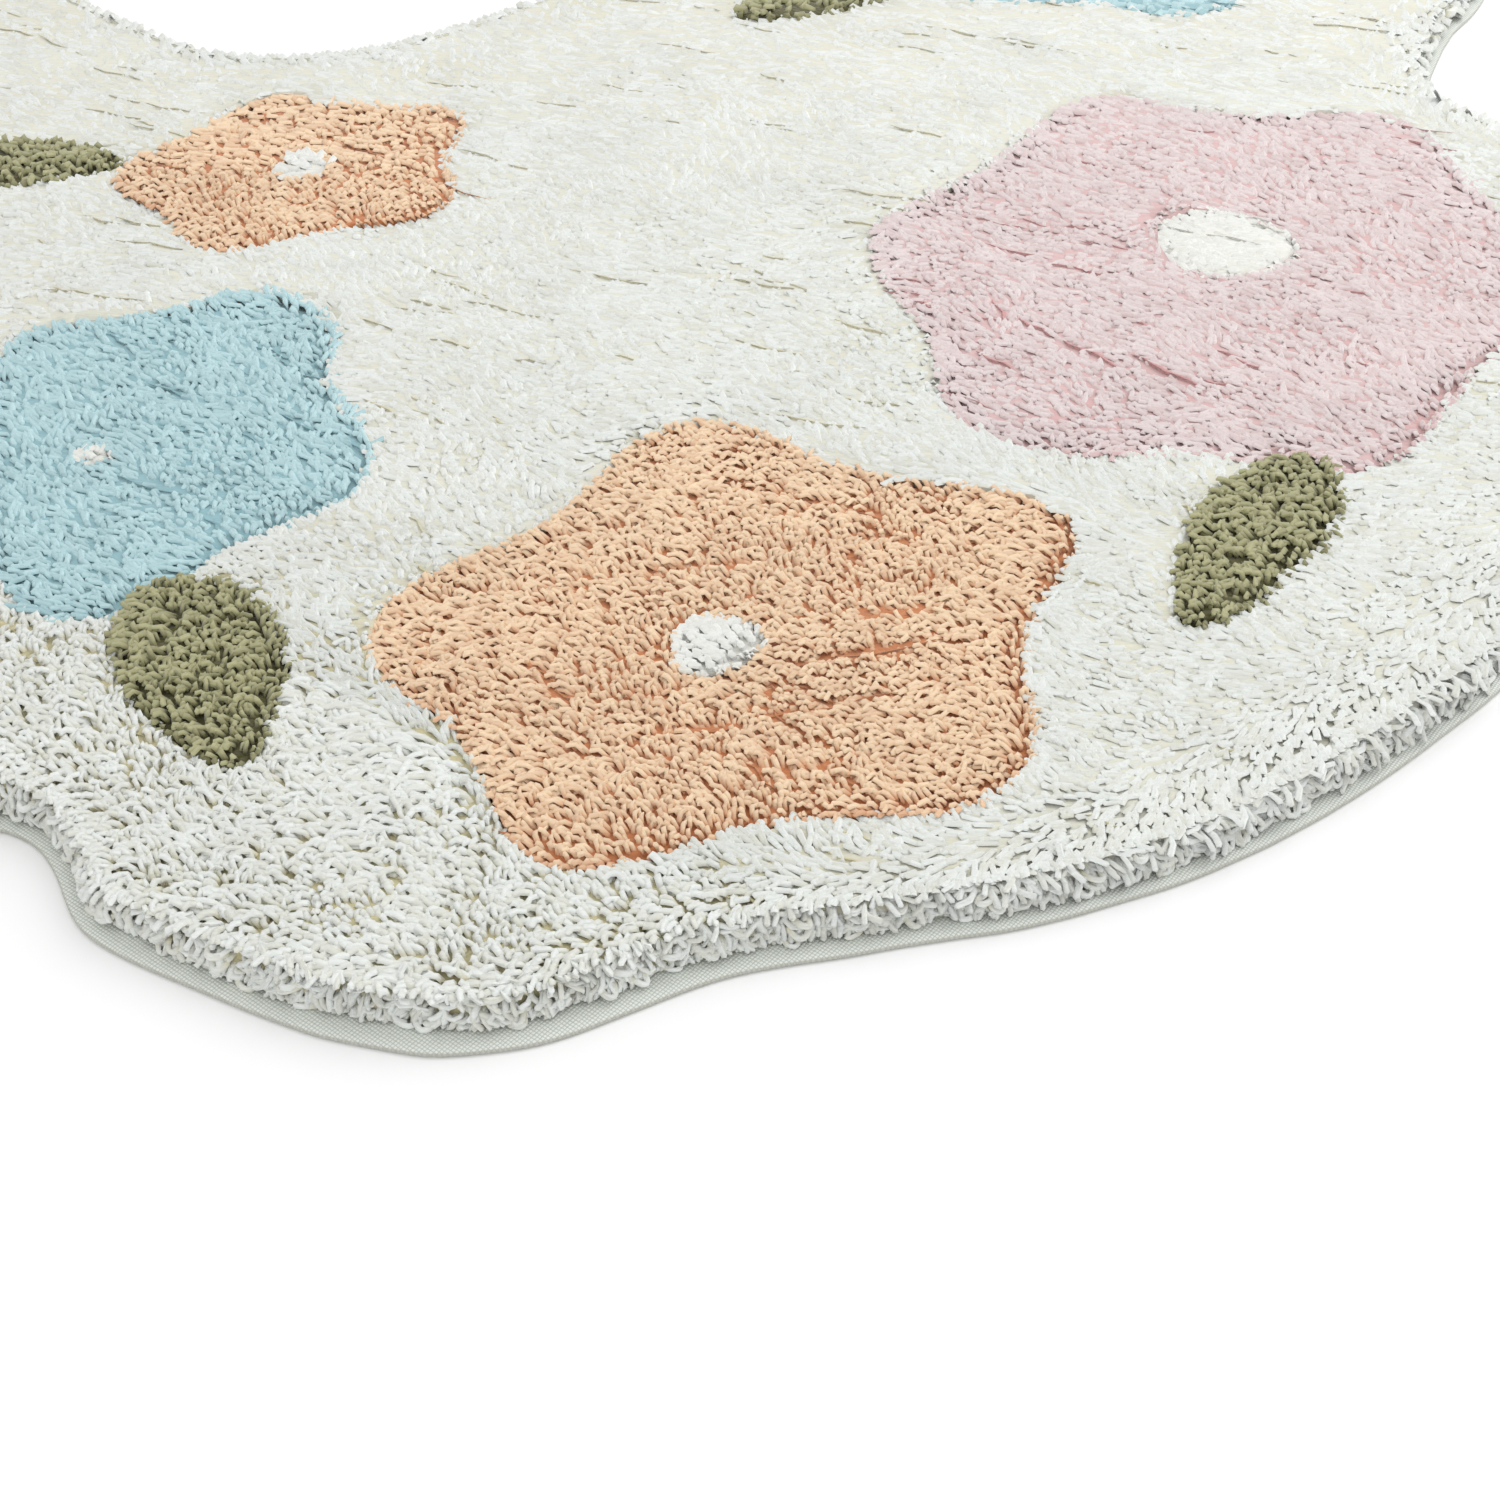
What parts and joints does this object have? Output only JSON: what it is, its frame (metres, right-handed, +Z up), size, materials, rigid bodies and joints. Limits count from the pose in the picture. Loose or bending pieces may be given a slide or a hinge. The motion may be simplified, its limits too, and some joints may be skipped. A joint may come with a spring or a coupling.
{
  "type": "butterfly-shaped kids rug",
  "caption": "Flat butterfly-shaped rug of thick cotton pile on a canvas backing, with tufted flowers and leaves and drooping locks at its rim.",
  "frame": {"origin": "on the floor, at the middle of the rug's bounding box", "axes": "+Z up out of the pile, +Y towards the butterfly's head, +X to its right-hand wing seen from above; mirror plane of the outline at X=0"},
  "size_m": [1.6037, 1.2007, 0.0226],
  "materials": {
    "canvas": "undyed woven cotton canvas, turned edge",
    "cream_yarn": "soft tufted cotton yarn, natural cream",
    "white_yarn": "soft tufted cotton yarn, white",
    "apricot_yarn": "soft tufted cotton yarn, dyed apricot",
    "blue_yarn": "soft tufted cotton yarn, dyed pale blue",
    "pink_yarn": "soft tufted cotton yarn, dyed dusty pink",
    "olive_yarn": "soft tufted cotton yarn, dyed olive"
  },
  "bodies": {
    "root": {"canvas_backing": "canvas", "cream_pile": "cream_yarn", "petals_front_mid": "blue_yarn", "petals_front_right": "apricot_yarn", "petals_right": "pink_yarn", "petals_front_left": "pink_yarn", "petals_left": "apricot_yarn", "petals_head_right": "blue_yarn", "petals_head_left": "pink_yarn", "petals_middle": "apricot_yarn", "centre_front_mid": "white_yarn", "centre_front_right": "white_yarn", "centre_right": "white_yarn", "centre_front_left": "white_yarn", "centre_left": "white_yarn", "centre_head_right": "white_yarn", "centre_head_left": "white_yarn", "centre_middle": "white_yarn", "leaf_front_mid": "olive_yarn", "leaf_right": "olive_yarn", "leaf_front_left": "olive_yarn", "leaf_left": "olive_yarn", "leaf_head_right": "olive_yarn", "leaf_head_left": "olive_yarn", "leaf_middle": "olive_yarn"}
  },
  "joints": []
}
